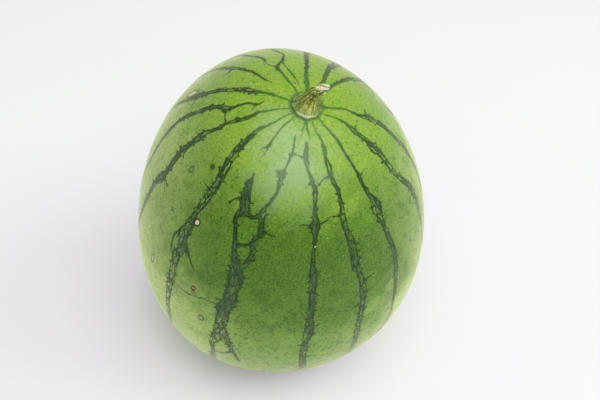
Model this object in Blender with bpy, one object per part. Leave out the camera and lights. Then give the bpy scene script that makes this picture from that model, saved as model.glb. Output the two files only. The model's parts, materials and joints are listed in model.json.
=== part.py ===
"""A small oval watermelon with the dried stub of its stalk.

The fruit stands on a small flat spot. Metres, +Z up, with the origin in the
middle of the flat spot. The fruit's long axis is upright. The stalk grows
from the growth pole, which is tipped off the top towards -Y and +X.
"""

import math

import bmesh
import bpy
from mathutils import Matrix, Vector

# Driving dimensions of the fruit.
BODY_RADIUS = 0.090
HEIGHT_RATIO = 1.225
SHOULDER_TAPER = -0.07
END_FULLNESS = 0.07
LOBE_COUNT = 3
LOBE_DEPTH = 0.015
LOBE_TURN = math.radians(-12.0)
REST_CUT = 0.0024
RIND_COLOUR = (0.19, 0.33, 0.07)
RIND_ROUGHNESS = 0.42

# The growth pole, where the stalk stands, and the dents at both ends.
POLE_TILT = math.radians(15.0)
POLE_TURN = math.radians(-48.4)
STALK_DENT_DEPTH = 0.0014
STALK_DENT_REACH = 0.013
BLOSSOM_DENT_DEPTH = 0.0013
BLOSSOM_DENT_REACH = 0.005
POLE_STEP = 0.05  # radians from the pole over which its slope is read

# Mesh fineness of the fruit. Rings crowd towards the two ends.
FRUIT_SEGMENTS = 72
FRUIT_RINGS = 42
RING_CROWDING = 0.5

# The stalk: a flared foot, a ridged cone, a thin neck and a torn, bent tip.
SEAT_GAP = 0.0003
FOOT_RADIUS = 0.0089
FOOT_LIP = 0.0007
RIM_RISE = 0.0002  # least rise of each stalk ring over the foot's underside
NECK_RADIUS = 0.0029
NECK_SHARE = 0.5
TIP_RADIUS = 0.0015
TIP_BLUNTNESS = 0.5
FLARE_POWER = 2.1
FOOT_SHARE = 0.03
RIDGE_COUNT = 9
RIDGE_DEPTH = 0.13
RIDGE_AT_FOOT = 0.5
RIDGE_RISE = 2.5
SLOW_RIDGE_SHARE = 0.6
SLOW_RIDGE_COUNT = 2
SLOW_RIDGE_TURN = 0.8
FOOT_SCALLOP = 0.3
RIDGE_TWIST = math.radians(55.0)
STALK_SEGMENTS = 45
SEAT_RINGS = 3
STALK_RINGS = 22
STALK_COLOUR = (0.36, 0.38, 0.13)
STALK_ROUGHNESS = 0.8

# Centre line of the stalk, along axes at its foot that run right, back and out
# of the rind. It leans off the foot, rises, and bends over to the right.
STALK_RISE = 0.015
STALK_BEND = math.radians(100.0)
STALK_LEAN = 0.002
STALK_REACH = 0.0072
STALK_BACK = 0.0042

# The shorter strand torn from its side, which starts inside it.
TORN_START = (0.0022, 0.0009, 0.0070)
TORN_REACH = 0.0058
TORN_BACK = 0.0017
TORN_RISE = 0.0047
TORN_RADIUS = 0.0019
TORN_BLUNTNESS = 0.25
TORN_TAPER = 0.5
TORN_FLATNESS = 0.7
TORN_SEGMENTS = 12
TORN_RINGS = 9
LINE_STEP = 0.01  # share of a centre line over which its direction is read

FRONT = Vector((0.0, -1.0, 0.0))
REST_HEIGHT = BODY_RADIUS * HEIGHT_RATIO - REST_CUT


def clear_scene():
    """Remove whatever objects the open scene holds."""
    for thing in list(bpy.data.objects):
        bpy.data.objects.remove(thing, do_unlink=True)


def new_collection(name):
    """Make a collection with this name in the scene."""
    collection = bpy.data.collections.new(name)
    bpy.context.scene.collection.children.link(collection)
    return collection


def surface_finish(name, colour, roughness):
    """Make a Principled material of one colour."""
    material = bpy.data.materials.new(name)
    material.use_nodes = True
    shader = material.node_tree.nodes["Principled BSDF"]
    shader.inputs["Base Color"].default_value = (*colour, 1.0)
    shader.inputs["Roughness"].default_value = roughness
    shader.inputs["Metallic"].default_value = 0.0
    return material


def growth_frame():
    """Rotation that carries +Z to the growth pole and keeps longitudes."""
    turn = Matrix.Rotation(POLE_TURN, 3, "Z")
    tilt = Matrix.Rotation(POLE_TILT, 3, "Y")
    return turn @ tilt @ turn.inverted()


GROWTH = growth_frame()


def growth_direction(colatitude, longitude):
    """Unit direction at an angle from the growth pole and a longitude."""
    level = math.sin(colatitude)
    right = level * math.cos(longitude)
    back = level * math.sin(longitude)
    return GROWTH @ Vector((right, back, math.cos(colatitude)))


def dent(angle, depth, reach):
    """Depth of a soft round dent at this angle from its middle."""
    return depth * math.exp(-((angle * BODY_RADIUS / reach) ** 2))


def rind_point(direction):
    """Point of the fruit's skin in a unit direction, lobes and dents included."""
    colatitude = math.acos(max(-1.0, min(1.0, direction.z)))
    azimuth = math.atan2(direction.y, direction.x)
    cosine = math.cos(colatitude)
    girth = 1.0 + SHOULDER_TAPER * cosine + END_FULLNESS * cosine * cosine
    girth *= 1.0 + LOBE_DEPTH * math.cos(LOBE_COUNT * (azimuth - LOBE_TURN))
    across = BODY_RADIUS * math.sin(colatitude) * girth
    height = BODY_RADIUS * HEIGHT_RATIO * cosine
    point = Vector((across * math.cos(azimuth), across * math.sin(azimuth), height))
    from_pole = direction.angle(GROWTH @ Vector((0.0, 0.0, 1.0)))
    sink = dent(from_pole, STALK_DENT_DEPTH, STALK_DENT_REACH)
    sink += dent(math.pi - from_pole, BLOSSOM_DENT_DEPTH, BLOSSOM_DENT_REACH)
    return point - point.normalized() * sink + Vector((0.0, 0.0, REST_HEIGHT))


def build_fruit(parts, cutters):
    """The whole fruit: one solid body with its flat spot cut at the bottom."""
    mesh = bpy.data.meshes.new("fruit")
    shape = bmesh.new()
    bmesh.ops.create_uvsphere(shape, u_segments=FRUIT_SEGMENTS, v_segments=FRUIT_RINGS, radius=1.0)
    for vertex in shape.verts:
        direction = vertex.co.normalized()
        even = math.acos(max(-1.0, min(1.0, direction.z)))
        crowded = even - RING_CROWDING * math.sin(2.0 * even) / 2.0
        vertex.co = rind_point(growth_direction(crowded, math.atan2(direction.y, direction.x)))
    shape.to_mesh(mesh)
    shape.free()
    mesh.materials.append(surface_finish("rind", RIND_COLOUR, RIND_ROUGHNESS))
    mesh.shade_smooth()
    fruit = bpy.data.objects.new("fruit", mesh)
    parts.objects.link(fruit)

    bpy.ops.mesh.primitive_cube_add(size=BODY_RADIUS, location=(0.0, 0.0, -BODY_RADIUS / 2.0))
    floor_cutter = bpy.context.object
    floor_cutter.name = "rest_cutter"
    floor_cutter.display_type = "WIRE"
    floor_cutter.hide_render = True
    for home in list(floor_cutter.users_collection):
        home.objects.unlink(floor_cutter)
    cutters.objects.link(floor_cutter)
    cut = fruit.modifiers.new("rest_flat", "BOOLEAN")
    cut.operation = "DIFFERENCE"
    cut.solver = "EXACT"
    cut.object = floor_cutter
    return fruit


def stalk_frame():
    """Matrix of the stalk's foot: right, back and outward axes on the rind."""
    pole = rind_point(growth_direction(0.0, 0.0))
    quarter = math.pi / 2.0
    east = rind_point(growth_direction(POLE_STEP, 0.0))
    east -= rind_point(growth_direction(POLE_STEP, math.pi))
    north = rind_point(growth_direction(POLE_STEP, quarter))
    north -= rind_point(growth_direction(POLE_STEP, -quarter))
    outward = east.cross(north).normalized()
    right = (Vector((1.0, 0.0, 0.0)) - outward * outward.x).normalized()
    back = outward.cross(right)
    axes = Matrix((right, back, outward)).transposed().to_4x4()
    return Matrix.Translation(pole) @ axes


def stalk_line(share):
    """Point on the stalk's centre line at a share of its length."""
    right = STALK_LEAN * share + STALK_REACH * share**3
    return Vector((right, STALK_BACK * share, STALK_RISE * math.sin(STALK_BEND * share)))


def torn_line(share):
    """Point on the torn strand's centre line at a share of its length."""
    rise = TORN_RISE * math.sin(math.pi / 2.0 * share)
    return Vector(TORN_START) + Vector((TORN_REACH * share, TORN_BACK * share**2, rise))


def line_axes(line, share, side_hint):
    """Two directions across a centre line at a share of its length."""
    ahead = line(share + LINE_STEP) - line(share - LINE_STEP)
    ahead.normalize()
    side = (side_hint - ahead * ahead.dot(side_hint)).normalized()
    return side, ahead.cross(side)


def stalk_radius(share):
    """Radius of the stalk, from the flared foot through the neck to the blunt tip."""
    if share < NECK_SHARE:
        flare = (1.0 - share / NECK_SHARE) ** FLARE_POWER
        return NECK_RADIUS + (FOOT_RADIUS - FOOT_LIP - NECK_RADIUS) * flare
    past_neck = (share - NECK_SHARE) / (1.0 - NECK_SHARE)
    return NECK_RADIUS + (TIP_RADIUS - NECK_RADIUS) * past_neck


def loft(rings, name):
    """Closed mesh over rings of equal point counts, with an end point on each end."""
    shape = bmesh.new()
    count = len(rings[1])
    first = shape.verts.new(rings[0][0])
    last = shape.verts.new(rings[-1][0])
    rows = [[shape.verts.new(point) for point in ring] for ring in rings[1:-1]]
    for index in range(count):
        following = (index + 1) % count
        shape.faces.new((first, rows[0][following], rows[0][index]))
        shape.faces.new((last, rows[-1][index], rows[-1][following]))
        for lower, upper in zip(rows, rows[1:]):
            shape.faces.new((lower[index], lower[following], upper[following], upper[index]))
    mesh = bpy.data.meshes.new(name)
    bmesh.ops.recalc_face_normals(shape, faces=shape.faces)
    shape.to_mesh(mesh)
    shape.free()
    return mesh


def seat_point(to_local, colatitude, longitude):
    """Point of the foot's underside, an even gap above the rind."""
    skin = rind_point(growth_direction(colatitude, longitude))
    return to_local @ skin + Vector((0.0, 0.0, SEAT_GAP))


def seat_rings(to_local):
    """Rings of the foot's underside, from its middle to its scalloped edge."""
    first_longitude = math.radians(-90.0)
    rings = [[seat_point(to_local, 0.0, 0.0)]]
    for step in range(1, SEAT_RINGS + 1):
        ring = []
        for index in range(STALK_SEGMENTS):
            angle = math.tau * index / STALK_SEGMENTS
            spread = FOOT_RADIUS / BODY_RADIUS * step / SEAT_RINGS
            spread *= ridge_wave(angle, 0.0, FOOT_SCALLOP)
            ring.append(seat_point(to_local, spread, first_longitude + angle))
        rings.append(ring)
    return rings


def ridge_wave(angle, turn, strength):
    """Factor on the radius for the stalk's uneven lengthwise ridges."""
    main = math.cos(RIDGE_COUNT * (angle - turn))
    slow = math.cos(SLOW_RIDGE_COUNT * (angle - turn) + SLOW_RIDGE_TURN)
    return 1.0 + strength * RIDGE_DEPTH * (main + SLOW_RIDGE_SHARE * slow)


def lift_off_seat(point, seat, index, step):
    """Raise a stalk point that would dip under the foot's underside."""
    underside = max(ring[index].z for ring in seat[1:])
    point.z = max(point.z, underside + RIM_RISE * (step + 1))
    return point


def stalk_mesh(to_local):
    """The stalk's main strand, from the seat on the rind to the bleached tip."""
    seat = seat_rings(to_local)
    rings = list(seat)
    for step in range(STALK_RINGS + 1):
        share = FOOT_SHARE + (1.0 - FOOT_SHARE) * step / STALK_RINGS
        centre = stalk_line(share)
        side, across = line_axes(stalk_line, share, FRONT)
        radius = stalk_radius(share)
        strength = min(1.0, RIDGE_AT_FOOT + RIDGE_RISE * share)
        ring = []
        for index in range(STALK_SEGMENTS):
            angle = math.tau * index / STALK_SEGMENTS
            reach = radius * ridge_wave(angle, RIDGE_TWIST * share, strength)
            around = side * math.cos(angle) * reach + across * math.sin(angle) * reach
            ring.append(lift_off_seat(centre + around, seat, index, step))
        rings.append(ring)
    tip = stalk_line(1.0) + Vector((TIP_RADIUS * TIP_BLUNTNESS, 0.0, 0.0))
    rings.append([tip])
    return loft(rings, "stem")


def torn_strand_mesh():
    """The shorter, flatter strand that tore away below the tip."""
    rings = [[torn_line(0.0)]]
    for step in range(TORN_RINGS + 1):
        share = step / TORN_RINGS
        centre = torn_line(share)
        side, across = line_axes(torn_line, share, FRONT)
        width = TORN_RADIUS * (1.0 - TORN_TAPER * share)
        thickness = width * TORN_FLATNESS
        ring = []
        for index in range(TORN_SEGMENTS):
            angle = math.tau * index / TORN_SEGMENTS
            around = side * math.cos(angle) * width + across * math.sin(angle) * thickness
            ring.append(centre + around)
        rings.append(ring)
    tip = torn_line(1.0) + Vector((TORN_RADIUS * TORN_BLUNTNESS, 0.0, 0.0))
    rings.append([tip])
    return loft(rings, "torn_strand")


def build_stem(parts, cutters):
    """The dried stalk stub: the ridged cone joined with its torn strand."""
    frame = stalk_frame()
    mesh = stalk_mesh(frame.inverted())
    mesh.materials.append(surface_finish("stalk", STALK_COLOUR, STALK_ROUGHNESS))
    mesh.shade_smooth()
    stem = bpy.data.objects.new("stem", mesh)
    stem.matrix_world = frame
    parts.objects.link(stem)

    strand = bpy.data.objects.new("torn_strand", torn_strand_mesh())
    strand.matrix_world = frame
    strand.display_type = "WIRE"
    strand.hide_render = True
    cutters.objects.link(strand)
    join = stem.modifiers.new("torn_strand", "BOOLEAN")
    join.operation = "UNION"
    join.solver = "EXACT"
    join.object = strand
    return stem


def main():
    """Build the fruit and its stalk."""
    clear_scene()
    parts = new_collection("watermelon")
    cutters = new_collection("cutters")
    build_fruit(parts, cutters)
    build_stem(parts, cutters)


if __name__ == "__main__":
    main()
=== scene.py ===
"""The looks of a small round watermelon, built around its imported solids.

The rind is a fine skin over the fruit's own form. Its dark stripes are drawn as
strands that leave the stalk and meet again at the blossom end, and the material
breaks each strand into torn edges, thin spurs and braided veins.
"""

import json
import logging
import math
from collections.abc import Callable
from dataclasses import dataclass, field
from enum import Enum

import bpy
import numpy as np
from mathutils import Matrix, Vector, kdtree, noise

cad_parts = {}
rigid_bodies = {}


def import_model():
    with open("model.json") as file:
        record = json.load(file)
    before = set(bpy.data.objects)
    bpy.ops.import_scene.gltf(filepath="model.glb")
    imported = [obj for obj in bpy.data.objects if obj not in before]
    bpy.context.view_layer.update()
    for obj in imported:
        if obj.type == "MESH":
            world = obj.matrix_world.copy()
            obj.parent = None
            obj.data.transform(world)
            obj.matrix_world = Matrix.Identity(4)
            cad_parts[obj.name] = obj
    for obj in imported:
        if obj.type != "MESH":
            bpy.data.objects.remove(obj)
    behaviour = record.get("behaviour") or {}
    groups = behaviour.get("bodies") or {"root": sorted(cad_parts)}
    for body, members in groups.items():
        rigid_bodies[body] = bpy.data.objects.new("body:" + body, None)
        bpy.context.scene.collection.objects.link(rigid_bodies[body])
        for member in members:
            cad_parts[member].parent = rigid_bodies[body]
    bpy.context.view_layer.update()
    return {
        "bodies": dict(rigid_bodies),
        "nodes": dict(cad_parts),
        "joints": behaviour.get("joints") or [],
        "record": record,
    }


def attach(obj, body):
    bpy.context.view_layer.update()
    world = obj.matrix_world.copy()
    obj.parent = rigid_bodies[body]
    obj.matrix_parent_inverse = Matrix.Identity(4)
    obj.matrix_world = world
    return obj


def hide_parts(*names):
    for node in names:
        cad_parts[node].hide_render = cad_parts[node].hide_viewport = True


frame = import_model()

LOG = logging.getLogger("watermelon")
MM = 0.001
ROOT = "root"
WHITE = (1.0, 1.0, 1.0, 1.0)
Stop = tuple[float, float, float]
Colour = tuple[float, float, float, float]
Rows = np.ndarray
Piece = bpy.types.Object
Node = bpy.types.Node
Socket = bpy.types.NodeSocket
Tree = bpy.types.NodeTree


class Slot(Enum):
    """The record's material slots."""

    RIND = "rind"
    STALK = "stalk"


def tint(red: float, green: float, blue: float) -> Colour:
    """Linear colour of a display colour given in 0 to 255.

    Args:
        red: Red as displayed.
        green: Green as displayed.
        blue: Blue as displayed.

    Returns:
        The linear colour with full alpha.
    """
    shown = (channel / 255.0 for channel in (red, green, blue))
    linear = (c / 12.92 if c <= 0.04045 else ((c + 0.055) / 1.055) ** 2.4 for c in shown)
    return (*linear, 1.0)


# --- the fruit's form


@dataclass(frozen=True)
class RindForm:
    """The fruit's outer form, by the same formula as its solid."""

    body_radius: float = 0.090
    height_ratio: float = 1.225
    shoulder_taper: float = -0.07
    end_fullness: float = 0.07
    lobe_count: int = 3
    lobe_depth: float = 0.015
    lobe_turn: float = math.radians(-12.0)
    rest_cut: float = 0.0024
    pole_tilt: float = math.radians(15.0)
    pole_turn: float = math.radians(-48.4)
    stalk_dent_depth: float = 0.0014
    stalk_dent_reach: float = 0.013
    blossom_dent_depth: float = 0.0013
    blossom_dent_reach: float = 0.005

    @property
    def rest_height(self) -> float:
        """Height of the form's middle above the surface it rests on."""
        return self.body_radius * self.height_ratio - self.rest_cut

    @property
    def growth(self) -> Rows:
        """Rotation that carries +Z to the stalk."""
        turn = Matrix.Rotation(self.pole_turn, 3, "Z")
        tilt = Matrix.Rotation(self.pole_tilt, 3, "Y")
        return np.array(turn @ tilt @ turn.inverted())

    def directions(self, colatitude: Rows, longitude: Rows) -> Rows:
        """Unit directions from angles about the growth axis.

        Args:
            colatitude: Angles from the stalk, in radians.
            longitude: Angles round the axis, in radians.

        Returns:
            One row of x, y, z for each pair of angles.
        """
        level = np.sin(colatitude)
        right, back = level * np.cos(longitude), level * np.sin(longitude)
        local = np.stack((right, back, np.cos(colatitude)), axis=-1)
        return local @ self.growth.T

    def points(self, directions: Rows) -> Rows:
        """Points of the skin in unit directions.

        Args:
            directions: Rows of unit vectors.

        Returns:
            Rows of points, in metres.
        """
        cosine = np.clip(directions[..., 2], -1.0, 1.0)
        azimuth = np.arctan2(directions[..., 1], directions[..., 0])
        girth = 1.0 + self.shoulder_taper * cosine + self.end_fullness * cosine**2
        girth = girth * (1.0 + self.lobe_depth * np.cos(self.lobe_count * (azimuth - self.lobe_turn)))
        across = self.body_radius * np.sqrt(1.0 - cosine**2) * girth
        height = self.body_radius * self.height_ratio * cosine
        skin = np.stack((across * np.cos(azimuth), across * np.sin(azimuth), height), axis=-1)
        pole_cosine = np.clip(directions @ self.growth[:, 2], -1.0, 1.0)
        angle = np.arccos(pole_cosine)
        sink = self.stalk_dent_depth * np.exp(-((angle * self.body_radius / self.stalk_dent_reach) ** 2))
        far = (math.pi - angle) * self.body_radius / self.blossom_dent_reach
        sink = sink + self.blossom_dent_depth * np.exp(-(far**2))
        reach = np.linalg.norm(skin, axis=-1, keepdims=True)
        skin = skin * (1.0 - sink[..., None] / reach)
        skin[..., 2] += self.rest_height
        return skin

    def at(self, bearing: float, colatitude: float) -> Vector:
        """Point of the skin at a bearing from the front and an angle from the stalk, in degrees."""
        angles = np.radians([colatitude]), np.radians([bearing - 90.0])
        return Vector(self.points(self.directions(*angles))[0])


# --- the stripes


@dataclass(frozen=True)
class Strand:
    """One dark strand on the rind.

    Each stop is a bearing round the stalk from the front, an angle from the
    stalk, both in degrees, and a half width in millimetres.
    """

    stops: tuple[Stop, ...]
    ink: float = 1.0
    runs_on: bool = False


STRANDS: tuple[Strand, ...] = (
    # far left
    Strand(((-102, 6.5, 0.5), (-105, 10, 0.6), (-107, 15, 0.9), (-107, 20, 1.5), (-108, 23, 2.0),
        (-107.5, 30, 1.6), (-108, 35, 1.7), (-107.5, 40, 1.6), (-108, 46, 2.3), (-109, 52, 1.7),
        (-111, 60, 1.6)), 1.0, True),
    Strand(((-106, 45, 0.5), (-103, 46, 0.3))),
    Strand(((-92, 16, 0.4), (-89, 18, 0.8), (-92, 21.5, 0.7), (-90, 26, 0.9), (-90, 29, 2.3),
        (-93.5, 33, 1.5), (-95, 38, 1.7), (-95, 43, 1.2), (-96, 48, 1.5), (-96, 53, 1.4),
        (-95, 58, 1.6), (-93, 65, 1.7), (-91, 73, 1.6), (-91, 82, 1.4)), 1.0, True),
    Strand(((-89, 18, 0.4), (-86, 19, 0.2))),
    Strand(((-88, 29.5, 0.9), (-84, 30, 0.4), (-79, 30, 0.45))),
    # left
    Strand(((-72, 6.5, 0.5), (-75, 10, 0.5), (-77, 15, 0.7), (-78, 18, 0.9), (-75.7, 20.5, 1.2),
        (-76.5, 25, 1.3), (-78, 30, 1.0), (-77, 33, 1.1), (-78.5, 38, 1.4), (-78, 41, 2.7),
        (-78, 44.5, 1.5), (-77.5, 49, 2.5), (-76.5, 54, 2.2), (-75, 60, 2.0), (-75.5, 63, 3.7),
        (-77, 68, 2.0), (-76.5, 75, 2.0), (-77, 82, 1.7), (-78, 92, 1.4)), 0.95, True),
    Strand(((-74, 61, 0.5), (-70.5, 61, 0.25))),
    Strand(((-52, 6.5, 0.4), (-55, 10, 0.4), (-55.5, 15, 0.6), (-58.5, 20, 1.2), (-57, 24, 1.6),
        (-56, 28, 1.9), (-54, 33, 2.4), (-51.5, 38, 2.7), (-49.5, 43, 2.2), (-49, 50, 2.4),
        (-49.5, 55, 1.7), (-49, 60, 3.0), (-49, 65, 3.3), (-47.5, 70, 3.0)), 0.6),
    Strand(((-47.5, 70, 3.0), (-48, 76, 2.8), (-47, 82, 2.8), (-46.5, 90, 2.4), (-46, 98, 1.8),
        (-45, 106, 1.4)), 0.4, True),
    Strand(((-51, 46, 0.6), (-54, 46, 0.3))),
    Strand(((-45, 68, 1.2), (-42, 70.5, 0.6), (-39, 72.5, 0.25))),
    Strand(((-51, 62, 0.7), (-53, 69, 0.6), (-51.5, 74, 0.6))),
    Strand(((-37, 6.5, 0.3), (-41, 13, 0.45), (-39.5, 19, 0.5), (-38.5, 21, 1.0))),
    Strand(((-38.5, 21, 0.6), (-41, 23, 0.25))),
    Strand(((-38.5, 21, 0.6), (-37, 24, 0.25))),
    # front left, the broadest
    Strand(((-34.8, 32.5, 0.5), (-34.2, 35, 1.7), (-33, 38, 2.7), (-31.3, 41, 3.2), (-29.8, 43.5, 2.9),
        (-32, 47, 1.4), (-30, 50, 1.3), (-28, 53.5, 1.4), (-27, 56, 1.5), (-25, 60, 2.2),
        (-22.8, 63, 4.2), (-22, 67, 4.8), (-21.8, 71, 4.3), (-22, 76, 4.3), (-23, 80, 4.8),
        (-22.5, 84, 4.0)), 1.25),
    Strand(((-22.5, 84, 4.0), (-22.5, 90, 4.0), (-23, 96, 3.4), (-24, 101, 1.9), (-23, 107, 1.2)),
        0.55, True),
    Strand(((-20.5, 90, 2.2), (-18.5, 95, 2.2), (-16, 100, 1.4), (-12.5, 107, 0.9)), ink=0.6),
    Strand(((-23, 107, 0.7), (-19.5, 106, 0.6), (-16, 101.5, 0.7)), ink=0.7),
    Strand(((-33, 40, 0.6), (-36, 41.5, 0.5), (-38, 43.5, 0.4))),
    Strand(((-44, 84, 0.25), (-38, 83.5, 0.25), (-32, 81, 0.25), (-26, 79.5, 0.25)), ink=0.7),
    Strand(((-16, 14, 0.35), (-13.5, 18, 0.7), (-13.5, 20, 0.9), (-15.2, 25, 0.5), (-16.5, 27.6, 2.6),
        (-16.5, 29.7, 1.4), (-16, 33.5, 0.9), (-17.5, 36.5, 0.8), (-19.5, 39.5, 0.9), (-20, 42, 2.1),
        (-18.5, 46, 1.8), (-18, 49, 1.6), (-19.7, 51.5, 1.4), (-18.6, 55, 1.6), (-19, 58, 1.8),
        (-21, 61, 2.2)), 0.85),
    Strand(((1, 20.3, 0.5), (-6, 19.8, 0.35), (-13.5, 20, 0.5))),
    Strand(((-29, 44, 1.6), (-24.5, 44.5, 1.2), (-20, 42.5, 1.5))),
    Strand(((-27, 55, 1.1), (-23, 54, 0.9), (-19.8, 52, 1.0))),
    Strand(((-17.5, 47, 0.9), (-14.5, 47.5, 0.5), (-12, 47.8, 0.3))),
    # centre
    Strand(((-1, 6.3, 0.9), (3, 9.5, 0.6), (7, 13, 0.2))),
    Strand(((-4, 7.5, 0.3), (-6, 10, 0.25), (-7, 12.5, 0.2))),
    Strand(((2, 16, 0.9), (2, 20.3, 1.6), (4.5, 24.5, 0.7), (8, 28, 1.4), (10, 30.5, 1.6),
        (9.7, 36, 1.1), (10, 40, 1.6), (10, 42.5, 3.2), (10, 45.5, 1.6), (9.7, 49.5, 0.9),
        (9.4, 54, 1.4), (10, 60, 2.6), (10.3, 65, 2.2), (10.6, 70, 2.2), (10.8, 76, 2.2), (11, 80, 2.8),
        (11.2, 84, 3.3), (10.8, 88.5, 2.1), (11, 93, 2.5), (11.6, 99, 2.3), (14, 109, 2.2)),
        runs_on=True),
    Strand(((8, 42.5, 0.7), (5, 42.3, 0.4), (2, 42.5, 0.25))),
    Strand(((12.5, 42, 0.7), (16, 41.3, 0.3), (19.5, 40, 0.3), (25, 40.5, 0.5))),
    Strand(((23, 26.5, 0.4), (17, 27.5, 0.35), (11.5, 30, 0.5))),
    # front right
    Strand(((20, 8, 0.3), (21, 11, 0.35), (25, 14.5, 0.6), (24.5, 18, 1.4), (23.5, 20, 1.0),
        (22.5, 24, 0.6), (24, 27, 1.3), (26, 30, 1.3), (27, 33, 1.1), (27, 37, 1.4), (26.6, 41, 2.0),
        (27.5, 46, 1.8), (29.5, 50.5, 2.6), (30.5, 55, 2.0)), 0.85),
    Strand(((30.5, 55, 2.0), (31.4, 61, 1.9), (33, 66.5, 2.1), (33.5, 71, 2.8), (33, 77.5, 2.2),
        (32.7, 84, 2.0), (32.7, 90, 2.3), (33.5, 98, 1.7)), 0.55, True),
    Strand(((25.5, 21.5, 0.4), (26, 24.5, 0.45), (24.5, 27, 0.8))),
    Strand(((27.5, 49, 0.8), (28.5, 55, 0.8), (28.5, 59.5, 0.7))),
    Strand(((34, 66, 0.7), (36.5, 65.5, 0.4), (39, 65, 0.25))),
    Strand(((31, 74.5, 0.6), (28.5, 76, 0.25))),
    Strand(((45, 6.5, 0.35), (44.5, 11, 0.6), (47, 15.5, 0.9), (46.5, 18, 1.0), (45.5, 22, 0.7),
        (46.5, 28, 0.7), (46.7, 31, 1.4), (46.5, 34, 1.0), (47.7, 39, 1.6), (48.3, 42.5, 2.8),
        (49, 47, 2.5), (49.6, 51, 1.3), (50.5, 56, 1.9), (52, 62, 1.9), (51.5, 70, 1.7),
        (50.7, 79, 1.6), (50.3, 88, 1.2)), 0.78, True),
    Strand(((48.5, 31, 0.5), (51, 30.5, 0.25))),
    Strand(((49.5, 39, 0.5), (52, 43, 0.9), (51.5, 45.5, 0.6))),
    Strand(((49, 58.5, 0.5), (47.5, 59.5, 0.25))),
    # right
    Strand(((72, 8, 0.4), (75, 10, 0.5), (76, 15, 0.95), (73.5, 19.5, 1.7), (73.7, 24, 1.5),
        (73.5, 28, 2.6), (73.5, 32.5, 2.1), (72.7, 38, 2.1), (73.3, 43, 1.6), (75.5, 47.5, 2.0),
        (78, 52.5, 2.4), (77.5, 59, 2.3), (77, 66, 1.8), (76.5, 75, 1.0)), 0.7, True),
    Strand(((71, 27, 0.9), (70, 29, 0.8), (71.5, 31, 0.5))),
    Strand(((76, 19.5, 0.7), (79, 19.3, 0.3))),
    Strand(((96, 6.5, 0.9), (97, 10, 0.7), (99, 15, 0.65), (96, 19.5, 0.95), (97, 24, 1.7),
        (97.3, 28, 1.9), (97.3, 31.5, 1.6), (96, 35.5, 1.6), (95.2, 39.5, 1.9), (94, 48, 2.2),
        (92.5, 56, 1.8), (91, 64, 1.2)), 0.7, True),
    Strand(((99, 24, 0.8), (103, 23.8, 0.4))),
    # back
    Strand(((118, 40, 0.3), (117, 45, 1.2), (118, 55, 2.0)), runs_on=True),
    Strand(((140, 9, 0.9), (141, 18, 1.0), (140, 25, 1.4), (140, 29, 1.6), (138.5, 33, 1.7),
        (138, 42, 1.8)), runs_on=True),
    Strand(((137, 36.5, 1.3), (131, 39, 1.2), (126, 37.5, 0.7), (123, 35.5, 0.3))),
    Strand(((157, 10, 0.9), (154.5, 15, 1.1), (156, 19, 1.2), (157, 24, 1.4), (157, 29, 2.0),
        (156, 35, 2.2)), runs_on=True),
    Strand(((178, 6.5, 1.3), (179, 10, 1.3), (180, 15, 1.2), (178, 22, 1.1), (177.5, 28, 1.3),
        (177, 36, 1.7)), runs_on=True),
    Strand(((-146, 6.5, 0.6), (-148, 10, 0.65), (-147, 13, 0.7), (-149, 17, 0.7), (-149.5, 21, 1.2),
        (-155, 23.5, 0.8), (-160, 25, 1.0), (-163, 28, 0.7), (-165, 31, 0.8), (-163, 35.5, 1.3)),
        runs_on=True),
    Strand(((-162, 11, 0.25), (-161, 14, 0.6), (-160, 17, 0.6), (-158.5, 20.5, 0.3),
        (-159.5, 24.5, 0.3))),
    Strand(((-149.5, 21, 0.4), (-146, 26, 0.25), (-149, 31, 0.9), (-147.5, 34, 1.1), (-146, 38, 0.9)),
        ink=0.8, runs_on=True),
    Strand(((-127, 17, 0.25), (-127, 20, 0.8), (-130, 26, 0.9), (-130, 30, 1.1), (-130, 36, 1.4),
        (-130, 40, 1.5), (-130, 46, 1.2)), runs_on=True),
    Strand(((-128.5, 36.5, 0.8), (-124, 36.5, 0.3))),
)


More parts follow.
